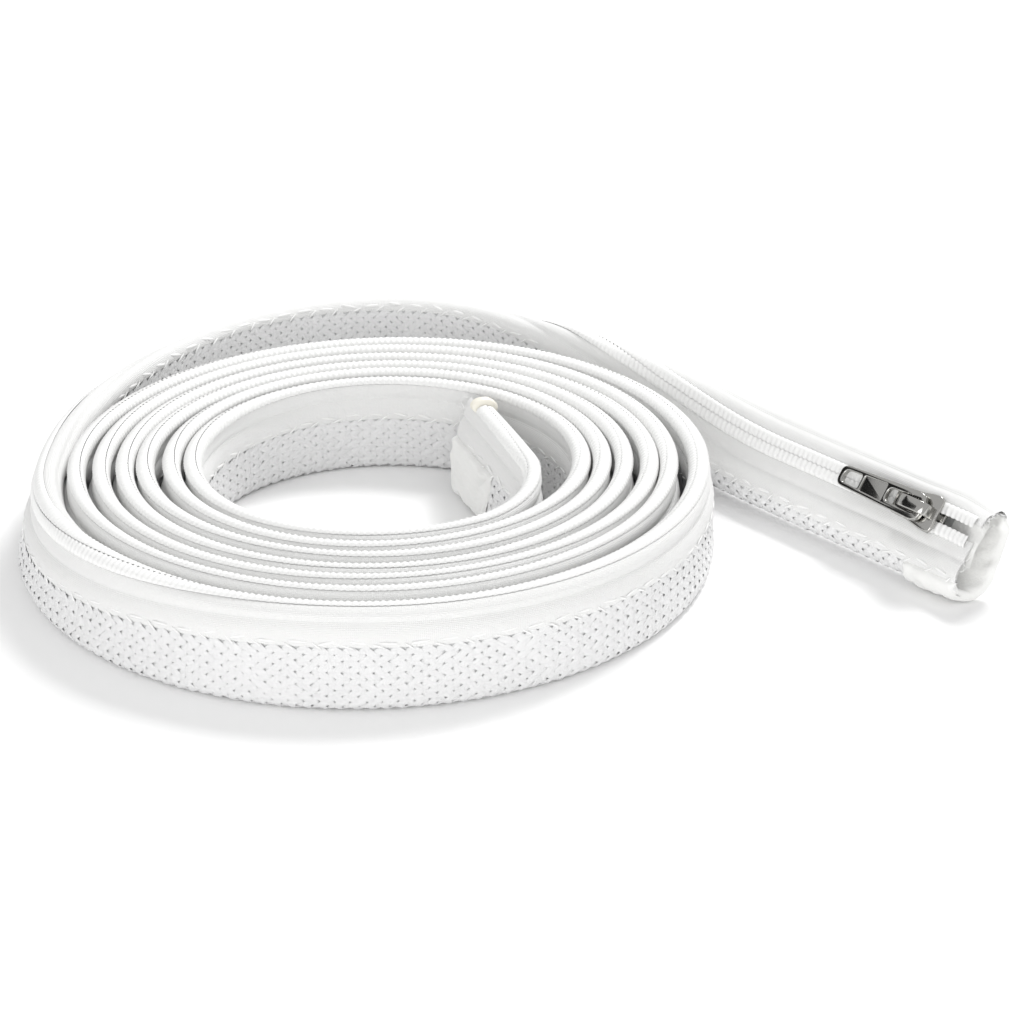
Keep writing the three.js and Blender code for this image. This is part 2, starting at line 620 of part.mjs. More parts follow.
const pull = new THREE.Group();
const barX = BRIDGE.front - BRIDGE.foot - EYE_BAR_FROM_BRIDGE;
pull.position.set(barX, 0, (PLATE_TOP + BRIDGE_TOP - BRIDGE.bar) / 2);
pull.rotation.y = -degToRad(TAB_DROP);
slider.add(pull);
add(pull, "pull_tab", pullTab(), "nickel");

// The origin goes under the middle of everything.
const box = new THREE.Box3().setFromObject(group);
const middle = box.getCenter(new THREE.Vector3());
group.position.set(-middle.x, -middle.y, -box.min.z);

export default group;
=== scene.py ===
"""Look of the zippered cable sleeve, laid out as an add-on: sizes and colours are properties, each
operator builds one piece or one group of like pieces, and main() runs them all."""
import json
import math

import bmesh
import bpy
import numpy as np
from bpy.props import FloatProperty, FloatVectorProperty, PointerProperty
from mathutils import Matrix, Vector


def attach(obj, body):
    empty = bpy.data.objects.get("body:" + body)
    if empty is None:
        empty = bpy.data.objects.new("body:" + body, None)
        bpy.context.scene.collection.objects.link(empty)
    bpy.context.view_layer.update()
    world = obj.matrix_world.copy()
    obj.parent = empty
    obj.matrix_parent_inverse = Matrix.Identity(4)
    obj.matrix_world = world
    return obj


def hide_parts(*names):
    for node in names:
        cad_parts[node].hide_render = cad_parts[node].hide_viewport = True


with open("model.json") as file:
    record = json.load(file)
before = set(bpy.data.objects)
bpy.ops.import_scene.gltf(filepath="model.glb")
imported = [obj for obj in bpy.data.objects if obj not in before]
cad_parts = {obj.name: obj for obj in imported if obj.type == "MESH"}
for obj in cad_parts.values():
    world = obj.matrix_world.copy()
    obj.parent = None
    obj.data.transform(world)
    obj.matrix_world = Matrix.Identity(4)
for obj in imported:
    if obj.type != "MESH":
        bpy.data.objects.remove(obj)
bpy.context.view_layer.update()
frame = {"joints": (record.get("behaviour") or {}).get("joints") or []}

bl_info = {
    "name": "Zippered cable sleeve",
    "version": (1, 0, 0),
    "blender": (4, 5, 0),
    "location": "3D View > Sidebar > Sleeve",
    "description": "Builds a wound braided cable sleeve with a coil zip, slider and pull tab",
    "category": "Object",
}

MM = 0.001


def length(name, mm, description):
    """A length property, given in millimetres and stored in metres."""
    return FloatProperty(name=name, description=description, default=mm * MM, unit="LENGTH")


def angle(name, degrees, description):
    """An angle property, given in degrees and stored in radians."""
    return FloatProperty(name=name, description=description, default=math.radians(degrees),
                         unit="ROTATION", subtype="ANGLE")


def number(name, value, description):
    """A plain number without a unit."""
    return FloatProperty(name=name, description=description, default=value)


def linear(code):
    """sRGB hex code to linear red, green and blue, by the standard curve."""
    parts = [int(code[i:i + 2], 16) / 255 for i in (1, 3, 5)]
    return [c / 12.92 if c <= 0.04045 else ((c + 0.055) / 1.055) ** 2.4 for c in parts]


def colour(name, code, description):
    """A colour property, given as an sRGB hex code."""
    return FloatVectorProperty(name=name, description=description, default=linear(code),
                               subtype="COLOR", size=3, min=0.0, max=1.0)


class SleeveSettings(bpy.types.PropertyGroup):
    """Sizes of the braid, the tapes and the chain."""

    half_round_coil: length("Half round, coil", 18.6, "Half of the way round the braid when tight")
    half_round_last: length("Half round, last turn", 19.4, "The same on the looser last turn")
    half_round_tail: length("Half round, tail", 20.2, "The same on the open tail")
    wall: length("Wall", 0.7, "Thickness of the braid")
    strand_pitch: length("Strand pitch", 2.4, "Distance between like strands along the sleeve")
    strand_advance: length("Strand advance", 25.0, "Way along while a strand crosses the braid")
    strand_width: length("Strand width", 1.27, "Width of one flat bundle of filaments")
    strand_rise: length("Strand rise", 0.17, "How far a strand rises and sinks at a crossing")
    groove: length("Groove", 4.9, "Where the tape dips beside the chain")
    tooth_pitch: length("Tooth pitch", 1.15, "Distance between the coil's turns")
    chain_width: length("Chain width", 2.1, "Half width of the meshed chain")
    chain_low: length("Chain base", 0.3, "Chain's foot above the middle of the wall")
    chain_high: length("Chain top", 0.84, "Chain's top above the middle of the wall")
    stitch_pitch: length("Stitch pitch", 4.7, "Distance between the seam's stitches")
    mouth_hem: length("Mouth hem", 12.6, "Length of the hem at the mouth")
    end_hem: length("End hem", 19.0, "Length of the hem at the inner end")


class RouteSettings(bpy.types.PropertyGroup):
    """How the sleeve lies."""

    eye_radius: length("Eye radius", 31.7, "Top edge of the innermost turn where it begins")
    pitch: length("Turn pitch", 3.95, "Distance between turns")
    turned: angle("Coil angle", 2285, "From the flap to where the tail leaves")
    thick_coil: length("Thickness, coil", 2.2, "Across the flattened braid in the turns")
    thick_last: length("Thickness, last turn", 4.2, "The same at the end of the last turn")
    thick_tail: length("Thickness, tail", 5.8, "The same on the tail")
    thick_mouth: length("Thickness, mouth", 8.4, "The same at the open mouth")
    thick_flap: length("Thickness, flap", 3.0, "The same at the inner end")
    tail: length("Tail length", 251, "From the coil to the mouth")
    even: length("Even length", 48, "Last stretch, where the section stays the same")
    tail_lean: angle("Tail lean", -36, "Lean of the tail's section")
    tail_shift: length("Tail zip shift", 7.6, "Zip's shift from the top edge on the tail")
    bow_shift: length("Bow zip shift", -6.5, "Zip's shift on the bow behind the coil")
    wander: length("Wander", 0.16, "Unevenness of the turns")


class SliderSettings(bpy.types.PropertyGroup):
    """Sizes of the slider and its tab."""

    from_mouth: length("From mouth", 9.4, "Slider's nose behind the mouth's end")
    body: length("Body length", 9.6, "Slider's length")
    half_tail: length("Half width, tail", 2.55, "Half of the slider's width at its tail")
    half_nose: length("Half width, nose", 3.35, "Half of the slider's width at its nose")
    plate: length("Plate", 0.85, "Thickness of a plate")
    slot_low: length("Slot floor", -0.65, "Upper face of the lower plate")
    slot_high: length("Slot roof", 0.35, "Lower face of the upper plate's lips")
    channel: length("Channel roof", 1.05, "Lower face of the upper plate")
    bridge: length("Bridge height", 2.9, "Bridge's height over the plate")
    tab: length("Tab length", 20, "Length of the pull tab")
    tab_thick: length("Tab thickness", 1.1, "Thickness of the pull tab")
    tab_drop: angle("Tab drop", 2.5, "The tab's tip rests nearer to the zip")


class ColourSettings(bpy.types.PropertyGroup):
    """Colours."""

    braid: colour("Braid", "#F5F5F5", "Woven filaments")
    # The braid's inside is coloured darker than the strands: painted shade in the gaps between
    # them.
    ground_painted_shade: colour("Braid, inside", "#E4E5E5", "What shows between the strands")
    tape: colour("Tape", "#EFEFEE", "Zip tape")
    chain: colour("Chain", "#F3F3F2", "Nylon coils")
    thread: colour("Thread", "#F6F6F5", "Sewing thread")
    hem: colour("Hem", "#F0F0EE", "Binding cloth")
    stop: colour("Stop", "#F3EFE3", "Melted nylon")
    nickel: colour("Nickel", "#B7B6B3", "Plated metal")
    floor: colour("Floor", "#FFFFFF", "Floor")
    flag: colour("Flag", "#080808", "Dark card that the metal reflects")


class StageSettings(bpy.types.PropertyGroup):
    """Camera and light."""

    elevation: angle("Elevation", 25.497, "Camera's height above the horizon")
    distance: length("Distance", 479.6, "Camera's distance from its target")
    lens: number("Lens", 96.1, "Focal length in millimetres, for a 36 mm wide picture")
    aim_x: length("Aim across", 24.17, "Target to the right of the fitted origin")
    aim_y: length("Aim back", -4.82, "Target behind the fitted origin")
    aim_z: length("Aim up", 9.0, "Target above the floor")
    key: number("Key light", 6.0, "Watts of the large light")
    front: number("Front light", 2.2, "Watts of the low light on the near side")
    fill: number("World", 0.68, "Strength of the even light from all sides")


# The route.


def ease(x, low, high):
    """Smooth step from 0 at low to 1 at high: 3t^2 - 2t^3."""
    t = np.clip((np.asarray(x, float) - low) / (high - low), 0, 1)
    return t * t * (3 - 2 * t)


TAIL_BENDS = ((0, 74.6), (30, 87.4), (60, 85.2), (95, 38.8), (120, 44.8), (150, 229), (184, None))
FLAP = {"radius": 20.0, "angle": math.radians(75), "straight": 30.0, "lean": math.radians(-14)}
LIFT = 1.1  # the tail and the flap rest on their hems, so their middles stand higher
ROLL_START, TWIST_START, SETTLE_LENGTH, BOW_LENGTH, FLARE_LENGTH = 110, 140, 60, 80, 8
LEAN_MEAN, LEAN_SWING, LEAN_PHASE = 10.5, 7, math.radians(21)  # of the coil's section, degrees
LAST_TURN_LOOSE, LAST_TURN_BULGE, LAST_TURN_ROLL = 0.7, 0.8, -3.8
ZIP_SHIFT_MEAN, ZIP_SHIFT_SWING, ZIP_SHIFT_RIPPLE = 0.3, 1.3, 0.12
COIL_START = math.radians(-55)
FITTED_CENTRE = (1.13, 0.6)
CARD_WAY = (-0.747, -0.539, 0.387)  # where the tab's face sends the camera's line
CARD_DISTANCE, CARD_HALF = 0.55, (0.17, 0.1)  # in metres


def millimetres(group):
    """A property group's values with lengths in millimetres, angles in radians."""
    out = {}
    for key in group.bl_rna.properties.keys():
        prop = group.bl_rna.properties[key]
        if key in ("name", "rna_type"):
            continue
        value = getattr(group, key)
        out[key] = value / MM if getattr(prop, "unit", "NONE") == "LENGTH" else value
    return type("Values", (), out)


def coil_plan(turned, sleeve, route):
    """Radius, lean and section of the coil after it has turned by so many radians. The radius of
    the top edge grows by the pitch each turn, and the section's middle stands out from it by half
    of its height times the sine of the lean. A small sum of sines makes the turns uneven."""
    whole = route.turned
    last = np.clip((turned - whole + 2 * np.pi) / (2 * np.pi), 0, 1)
    opened = ease(last, 0, 1)
    back = whole - turned
    lean = turned / whole * np.radians(LEAN_MEAN + LEAN_SWING * np.cos(back + LEAN_PHASE))
    thick = route.thick_coil + (route.thick_last - route.thick_coil) * opened
    half = sleeve.half_round_coil + (sleeve.half_round_last - sleeve.half_round_coil) * opened
    loose = LAST_TURN_LOOSE * opened + LAST_TURN_BULGE * np.sin(np.pi * last) ** 2
    fade = ease(turned, 0.5, 4) * (1 - ease(turned, whole - 3, whole))
    wander = route.wander * fade * (np.sin(1.37 * turned) + 0.7 * np.sin(2.61 * turned + 1.1))
    top = route.eye_radius + route.pitch * turned / (2 * np.pi) + loose + wander
    height = half - np.pi * thick / 2 + thick + sleeve.wall
    radius = top + height / 2 * np.sin(lean)
    roll = LAST_TURN_ROLL * ease(turned, whole - np.pi / 2, whole)
    ripple = ZIP_SHIFT_RIPPLE * np.sin(3.3 * turned)
    shift = ZIP_SHIFT_MEAN + ZIP_SHIFT_SWING * np.sin(back) + roll + ripple
    return radius, lean, thick, half, shift


def lay_out():
    """The whole route as arrays of position, heading and section, by distance from the inner end.
    The flap is an arc and a straight, the coil is coil_plan, and the tail's curvature is summed
    along it. Everything is turned so that the tail runs along +X."""
    scene = bpy.context.scene
    sleeve, route = millimetres(scene.sleeve), millimetres(scene.route)
    turned = np.linspace(0, route.turned, 2286)
    radius, lean, thick, half, shift = coil_plan(turned, sleeve, route)
    x, y = radius * np.cos(-turned), radius * np.sin(-turned)
    growth = np.gradient(radius, turned)
    heading = -turned - np.pi / 2 + np.arctan2(growth, radius)
    arc = FLAP["angle"] * FLAP["radius"]
    flap = np.arange(0.5, arc + FLAP["straight"] + 0.01, 0.5)
    bent = np.minimum(flap / FLAP["radius"], FLAP["angle"])
    way = heading[0] + np.pi + bent
    first = heading[0] + np.pi
    over = np.maximum(flap - arc, 0)
    fx = x[0] + FLAP["radius"] * (np.sin(way) - np.sin(first)) + over * np.cos(way)
    fy = y[0] - FLAP["radius"] * (np.cos(way) - np.cos(first)) + over * np.sin(way)
    part = ease(flap, 0, flap[-1])
    d = np.arange(0.5, route.tail + 0.01, 0.5)
    places = [b[0] for b in TAIL_BENDS]
    bends = [0 if b[1] is None else 1 / b[1] for b in TAIL_BENDS]
    curve = np.interp(d - 0.25, places, bends)
    tail_heading = heading[-1] - np.cumsum(curve * 0.5)
    middle = tail_heading + curve * 0.25
    tx = x[-1] + np.cumsum(np.cos(middle) * 0.5)
    ty = y[-1] + np.cumsum(np.sin(middle) * 0.5)
    even = route.tail - route.even
    roll, twist = ease(d, ROLL_START, even), ease(d, TWIST_START, even)
    settled = ease(d, 0, SETTLE_LENGTH)
    flare = ease(d, route.tail - FLARE_LENGTH, route.tail)
    bow = shift[-1] + (route.bow_shift - shift[-1]) * ease(d, 0, BOW_LENGTH)
    tail_thick = route.thick_last + (route.thick_tail - route.thick_last) * twist
    tail_half = sleeve.half_round_last + (
        sleeve.half_round_tail - sleeve.half_round_last) * ease(d, 0, even)
    flip = slice(None, None, -1)
    path = {
        "x": [fx[flip], x, tx],
        "y": [fy[flip], y, ty],
        "heading": [(way - np.pi)[flip], heading, tail_heading],
        "lean": [(FLAP["lean"] * part)[flip], lean,
                 lean[-1] * (1 - settled) + route.tail_lean * twist],
        "thick": [(route.thick_coil + (route.thick_flap - route.thick_coil) * part)[flip], thick,
                  tail_thick + (route.thick_mouth - tail_thick) * flare],
        "half": [np.full(len(flap), half[0]), half, tail_half],
        "shift": [(shift[0] * (1 - part))[flip], shift, bow + (route.tail_shift - bow) * roll],
        "lift": [(LIFT * ease(flap, 0, arc))[flip], 0 * x, LIFT * roll],
    }
    path = {key: np.concatenate(parts) for key, parts in path.items()}
    spin = -path["heading"][-1]
    c, s = math.cos(spin), math.sin(spin)
    path["x"], path["y"] = path["x"] * c - path["y"] * s, path["x"] * s + path["y"] * c
    path["heading"] = path["heading"] + spin
    step = np.hypot(np.diff(path["x"]), np.diff(path["y"]))
    path["along"] = np.concatenate([[0], np.cumsum(step)])
    path["wall"] = sleeve.wall
    path["spin"] = spin
    path["flap"] = flap[-1]
    path["end"] = path["along"][-1]
    joint = next(j for j in frame["joints"] if j["name"] == "pull_swing")
    pivot = slider_place(path) @ Vector(PULL_PIVOT)
    path["move"] = (joint["pos_m"][0] / MM - pivot[0], joint["pos_m"][1] / MM - pivot[1])
    path["pivot"] = joint["pos_m"]
    path["x"] = path["x"] + path["move"][0]
    path["y"] = path["y"] + path["move"][1]
    return path


def at(path, key, along):
    """One of the route's arrays at any distances, straight-line between its points."""
    return np.interp(along, path["along"], path[key])


def skin(path, along, round_, out):
    """Points of the sleeve in mm: along it, round its middle surface from the top edge (positive
    towards the inside of the coil) and out from that surface. The section is a stadium whose long
    axis leans: two straight flanks joined by half circles of half the thickness."""
    along, round_, out = np.broadcast_arrays(*map(lambda v: np.asarray(v, float),
                                                  (along, round_, out)))
    thick, half, lean = (at(path, k, along) for k in ("thick", "half", "lean"))
    r = thick / 2
    quarter = np.pi * r / 2
    flat = half - 2 * quarter
    u = (round_ + half) % (2 * half) - half
    v = np.abs(u)
    foot = (v - quarter - flat) / r
    up = np.where(v < quarter, flat / 2 + (r + out) * np.cos(v / r),
                  np.where(v < quarter + flat, flat / 2 - (v - quarter),
                           -flat / 2 - (r + out) * np.sin(foot)))
    side = np.where(v < quarter, (r + out) * np.sin(v / r),
                    np.where(v < quarter + flat, r + out, (r + out) * np.cos(foot)))
    side = np.where(u < 0, -side, side)
    middle = flat / 2 * np.cos(lean) + r + path["wall"] / 2 + at(path, "lift", along)
    outwards = -up * np.sin(lean) - side * np.cos(lean)
    heading = at(path, "heading", along)
    return np.stack([at(path, "x", along) - np.sin(heading) * outwards,
                     at(path, "y", along) + np.cos(heading) * outwards,
                     middle + up * np.cos(lean) - side * np.sin(lean)], -1)


# Meshes and materials.


def mesh_object(name, points, faces, material, uv=None, smooth=True):
    """One object from arrays: points in mm, faces of four corners each, uv per point in mm."""
    points = np.asarray(points, float).reshape(-1, 3) * MM
    faces = np.asarray(faces, np.int32).reshape(-1, 4)
    mesh = bpy.data.meshes.new(name)
    mesh.vertices.add(len(points))
    mesh.vertices.foreach_set("co", points.ravel())
    mesh.loops.add(faces.size)
    mesh.loops.foreach_set("vertex_index", faces.ravel())
    mesh.polygons.add(len(faces))
    mesh.polygons.foreach_set("loop_start", np.arange(len(faces), dtype=np.int32) * 4)
    mesh.update(calc_edges=True)
    if uv is not None:
        layer = mesh.uv_layers.new(name="along_across")
        layer.data.foreach_set("uv", np.asarray(uv, float).reshape(-1, 2)[faces.ravel()].ravel())
    mesh.validate()
    mesh.polygons.foreach_set("use_smooth", np.full(len(mesh.polygons), smooth))
    mesh.materials.append(material)
    obj = bpy.data.objects.new(name, mesh)
    bpy.context.scene.collection.objects.link(obj)
    return obj


def grid_faces(rows, columns, start=0, closed=False):
    """Corner numbers of a grid of rows by columns points. They turn outwards where the rows go
    along the sleeve and the columns round it, and a mirrored side takes them in reverse."""
    i = np.arange(rows - 1)[:, None]
    j = np.arange(columns if closed else columns - 1)[None, :]
    k = (j + 1) % columns
    a = start + i * columns + j
    b = start + i * columns + k
    return np.stack([a, b, b + columns, a + columns], -1).reshape(-1, 4)


def add_node(tree, kind, settings=(), inputs=(), links=()):
    """Adds a shader node, sets its settings and inputs, and links other sockets to it."""
    node = tree.nodes.new(kind)
    for key, value in settings:
        setattr(node, key, value)
    for key, value in inputs:
        node.inputs[key].default_value = value
    for key, socket in links:
        tree.links.new(socket, node.inputs[key])
    return node


def material(name, base, roughness, metallic=0.0, sheen=0.0, see_through=0.0):
    """A plain principled material to which a piece's own pattern is added."""
    made = bpy.data.materials.get(name)
    if made:
        return made, None, None
    made = bpy.data.materials.new(name)
    made.use_nodes = True
    tree = made.node_tree
    shader = tree.nodes["Principled BSDF"]
    shader.inputs["Base Color"].default_value = (*base, 1)
    shader.inputs["Roughness"].default_value = roughness
    shader.inputs["Metallic"].default_value = metallic
    shader.inputs["Sheen Weight"].default_value = sheen
    if see_through:
        shader.inputs["Subsurface Weight"].default_value = see_through
        shader.inputs["Subsurface Radius"].default_value = (0.0012, 0.0012, 0.0012)
        shader.inputs["Subsurface Scale"].default_value = 1.0
    return made, tree, shader


def waves(tree, scale, axis, source="UV", distortion=0.0):
    """A sine wave pattern along one axis of the UV map, which is in mm. The texture's own wave is
    pi / 10 long at scale 1, so the scale is the number of waves to the millimetre times that."""
    where = add_node(tree, "ShaderNodeTexCoord")
    return add_node(tree, "ShaderNodeTexWave",
                    settings=[("bands_direction", axis)],
                    inputs=[("Scale", scale * math.pi / 10), ("Distortion", distortion),
                            ("Detail", 1.0)],
                    links=[("Vector", where.outputs[source])]).outputs["Fac"]


def noise(tree, scale, source="Object", detail=3.0):
    """Soft noise; with object coordinates the scale is in features to the metre."""
    where = add_node(tree, "ShaderNodeTexCoord")
    return add_node(tree, "ShaderNodeTexNoise", inputs=[("Scale", scale), ("Detail", detail)],
                    links=[("Vector", where.outputs[source])]).outputs["Fac"]


def bump(tree, shader, height, strength, depth_mm):
    """Makes the surface follow a height pattern of that depth."""
    under = shader.inputs["Normal"].links
    links = [("Height", height)]
    if under:
        links.append(("Normal", under[0].from_socket))
    node = add_node(tree, "ShaderNodeBump",
                    inputs=[("Strength", strength), ("Distance", depth_mm * MM)], links=links)
    tree.links.new(node.outputs["Normal"], shader.inputs["Normal"])


def filament_material(colours):
    """Extruded polyester filaments: fine grooves along each strand and a slight gloss."""
    made, tree, shader = material("polyester_filament_braid", colours.braid, 0.42,
                                  see_through=0.12)
    if tree:
        bump(tree, shader, waves(tree, 5.2, "Y"), 0.55, 0.12)
        bump(tree, shader, noise(tree, 900), 0.25, 0.15)
    return made


def painted_shade_ground_material(colours):
    """The braid's lower layer, seen between the strands, coloured darker than them as painted
    shade in the gaps.
    """
    made, tree, shader = material("polyester_braid_lower_layer", colours.ground_painted_shade, 0.7)
    if tree:
        bump(tree, shader, noise(tree, 1400), 0.5, 0.2)
    return made


def tape_material(colours):
    """Woven tape: warp ribs along it and finer weft across."""
    made, tree, shader = material("woven_polyester_tape", colours.tape, 0.75, sheen=0.15,
                                  see_through=0.08)
    if tree:
        bump(tree, shader, waves(tree, 3.8, "Y", distortion=0.6), 0.5, 0.10)
        bump(tree, shader, waves(tree, 3.2, "X", distortion=0.8), 0.4, 0.08)
        bump(tree, shader, noise(tree, 700), 0.25, 0.2)
    return made


def chain_material(colours):
    """Nylon monofilament coil, slightly see-through."""
    made, tree, shader = material("nylon_monofilament", colours.chain, 0.38, see_through=0.15)
    if tree:
        bump(tree, shader, noise(tree, 1500), 0.2, 0.1)
    return made


def thread_material(colours):
    """Twisted sewing thread."""
    return material("polyester_thread", colours.thread, 0.6, see_through=0.1)[0]


def hem_material(colours):
    """Pressed binding cloth with a fine pile."""
    made, tree, shader = material("felted_binding_cloth", colours.hem, 0.85, sheen=0.25,
                                  see_through=0.1)
    if tree:
        bump(tree, shader, noise(tree, 2600), 0.5, 0.12)
        bump(tree, shader, noise(tree, 420), 0.4, 0.5)
    return made


def stop_material(colours):
    """Nylon melted over the chain."""
    return material("melted_nylon", colours.stop, 0.35, see_through=0.2)[0]


def nickel_material(colours):
    """Bright nickel plating over a die casting."""
    made, tree, shader = material("nickel_plate", colours.nickel, 0.13, metallic=1.0)
    if tree:
        bump(tree, shader, noise(tree, 600), 0.06, 0.1)
    return made


# The sleeve's pieces.


NOSE_FROM_MOUTH = 9.4  # where the wedge's nose holds the zip open, in mm
SPREAD_HALF, SPREAD_WHOLE, SPREAD_BEGINS = 0.8, 2.2, 6.2
HEM_EDGE = 8.9  # the hem's side edges, in mm from the middle of the zip
SEAM_EDGE = 9.0  # the strands' ends, beside the tapes' outer edges
LAYER_EDGE = 8.6  # the lower layer's edges, under the tapes


def braid_span(path, along, edge=SEAM_EDGE):
    """Round distances of the braid's two edges, beside the outer edges of the tapes."""
    shift, half = at(path, "shift", along), at(path, "half", along)
    return shift + edge, shift + 2 * half - edge


def braid_ground(path, made):
    """The braid's lower layer as one smooth wall just under the strands."""
    along = np.arange(0.8, path["end"] - 0.8, 1.2)
    across = np.linspace(0, 1, 25)
    low, high = braid_span(path, along, LAYER_EDGE)
    round_ = low[:, None] + (high - low)[:, None] * across
    points = skin(path, along[:, None], round_, -0.12)
    uv = np.stack(np.broadcast_arrays(along[:, None], round_), -1)
    return mesh_object("braid_lower_layer", points, grid_faces(len(along), 25), made, uv)


def braid_family(path, sleeve, made, way, name):
    """One of the braid's two families of flat strands. Strand number k starts at k pitches and
    crosses from edge to edge while it goes along by the advance. It meets a strand of the other
    family every half pitch of that way, and lies over and under it in turn: its height follows a
    cosine with one half wave per crossing. Each strand has a slightly different width and gloss
    line, so the weave isn't perfectly even."""
    crossings = int(round(2 * sleeve.strand_advance / sleeve.strand_pitch))
    steps = 2 * crossings + 1
    first = -sleeve.strand_advance if way > 0 else 0
    count = int((path["end"] + sleeve.strand_advance) / sleeve.strand_pitch)
    rng = np.random.default_rng(7 if way > 0 else 11)
    start = first + sleeve.strand_pitch * (np.arange(count) + 0.5)
    v = np.linspace(0, 1, steps)
    along = start[:, None] + way * v * sleeve.strand_advance
    low, high = braid_span(path, along)
    width = (high - low)[:, :1]
    round_ = low + (high - low) * v
    slope = np.arctan2(width, sleeve.strand_advance)
    half = sleeve.strand_width / 2 * (1 + 0.06 * rng.standard_normal((count, 1)))
    wobble = 0.10 * np.sin(along * 0.9 + rng.uniform(0, 6, (count, 1)))
    lift = way * sleeve.strand_rise / 2 * np.cos(np.pi * v * crossings)
    lift = lift + 0.03 * rng.standard_normal((count, steps))
    columns = np.array([-1, 0, 1])
    arch = np.array([-0.10, 0.06, -0.10])
    a = along[..., None] - way * columns * (half * np.sin(slope))[..., None]
    r = round_[..., None] + wobble[..., None] + columns * (half * np.cos(slope))[..., None]
    o = 0.2 + lift[..., None] + arch
    inside = (along > 1.2) & (along < path["end"] - 1.2)
    points = skin(path, np.clip(a, 0.6, path["end"] - 0.6), r, o)
    uv = np.stack(np.broadcast_arrays(along[..., None], columns * 0.65 + 5), -1)
    k = np.arange(count)[:, None, None] * steps * 3
    i = np.arange(steps - 1)[None, :, None]
    j = np.arange(2)[None, None, :]
    corner = k + i * 3 + j
    faces = np.stack([corner, corner + 1, corner + 4, corner + 3][::way], -1)
    keep = (inside[:, :-1] & inside[:, 1:])[..., None] & (j < 2)
    return mesh_object(name, points, faces[np.broadcast_to(keep, faces.shape[:3])], made, uv)


def spread(path, along):
    """How far the slider's wedge holds each side of the zip from its middle, in mm: nothing at the
    slider's tail, and the wedge's whole half width from its nose to the mouth."""
    behind = path["end"] - along - NOSE_FROM_MOUTH
    return SPREAD_HALF * (1 - ease(behind, SPREAD_WHOLE, SPREAD_BEGINS))


def tape(path, sleeve, made, side, name):
    """One tape. Its profile lies flat under the chain, dips in a groove beside it, swells over the
    fold and comes down on the braid's edge. The swell is uneven along it, and puckers at each
    stitch."""
    along = np.arange(0.6, path["end"] - 0.3, 0.8)
    d = np.array([0.9, 1.6, 2.3, 3.0, 3.8, 4.4, 4.8, 5.05, 5.4, 6.0, 6.8, 7.6, 8.3, 8.8, 9.2])
    groove = -0.30 * np.exp(-((d - sleeve.groove) / 0.32) ** 2)
    swell = 0.30 * np.exp(-((d - 6.9) / 1.5) ** 2) + 0.28 * ease(d, 5.2, 7.5)
    rim = 0.12 * np.exp(-((d - 3.4) / 0.7) ** 2)
    pucker = 0.5 + 0.5 * np.cos(2 * np.pi * along / sleeve.stitch_pitch)
    wave = 1 + 0.22 * np.sin(0.23 * along + side) * np.sin(0.071 * along)
    o = 0.05 + groove + rim + swell * wave[:, None]
    o = o - 0.13 * pucker[:, None] * np.exp(-((d - 8.0) / 0.5) ** 2)
    o = np.where(d > 9, 0.1, o)
    from_middle = d + spread(path, along)[:, None] * np.exp(-d / 4)
    round_ = at(path, "shift", along)[:, None] + side * from_middle
    points = skin(path, along[:, None], round_, o)
    inner = skin(path, along[:, None], round_, o - 0.45)
    n = len(along) * len(d)
    faces = grid_faces(len(along), len(d))
    faces = np.concatenate([faces, faces[:, ::-1] + n])[:, ::side]
    uv = np.stack(np.broadcast_arrays(along[:, None], round_ * 0 + d), -1)
    return mesh_object(name, np.concatenate([points.reshape(-1, 3), inner.reshape(-1, 3)]), faces,
                       made, np.concatenate([uv.reshape(-1, 2)] * 2))


def chain(path, sleeve, made, side, name):
    """One nylon coil, seen as a ridge with a rib at every turn of its helix. Across it the height
    is half an ellipse, along it the ribs are raised sines, half a pitch on from the other coil's,
    and both are flattened where the turns lie tight."""
    step = sleeve.tooth_pitch / 6
    along = np.arange(6.5, path["end"] - 1.8, step)
    t = np.array([0.0, 0.04, 0.2, 0.42, 0.66, 0.88, 1.0])
    across = 0.02 + (sleeve.chain_width - 0.02) * t
    profile = np.sqrt(np.clip(1 - (2 * t - 1) ** 2, 0, 1)) ** 0.6
    profile[0], profile[1] = 0.66, 0.8
    phase = 2 * np.pi * along / sleeve.tooth_pitch + (np.pi if side > 0 else 0)
    rib = 0.5 + 0.5 * np.cos(phase)
    tight = 1 - ease(along, path["end"] - 330, path["end"] - 200)
    high = sleeve.chain_high + 0.12 * (1 - tight)
    height = (high[:, None] - sleeve.chain_low) * profile * (0.62 + 0.38 * rib[:, None])
    lean = 0.10 * np.sin(phase)[:, None] * (t - 0.5)
    out = sleeve.chain_low - 0.15 + height
    round_ = at(path, "shift", along)[:, None] + side * (
        across + lean + spread(path, along)[:, None])
    points = skin(path, along[:, None], round_, out)
    uv = np.stack(np.broadcast_arrays(along[:, None], round_), -1)
    return mesh_object(name, points, grid_faces(len(along), len(t))[:, ::side], made, uv)


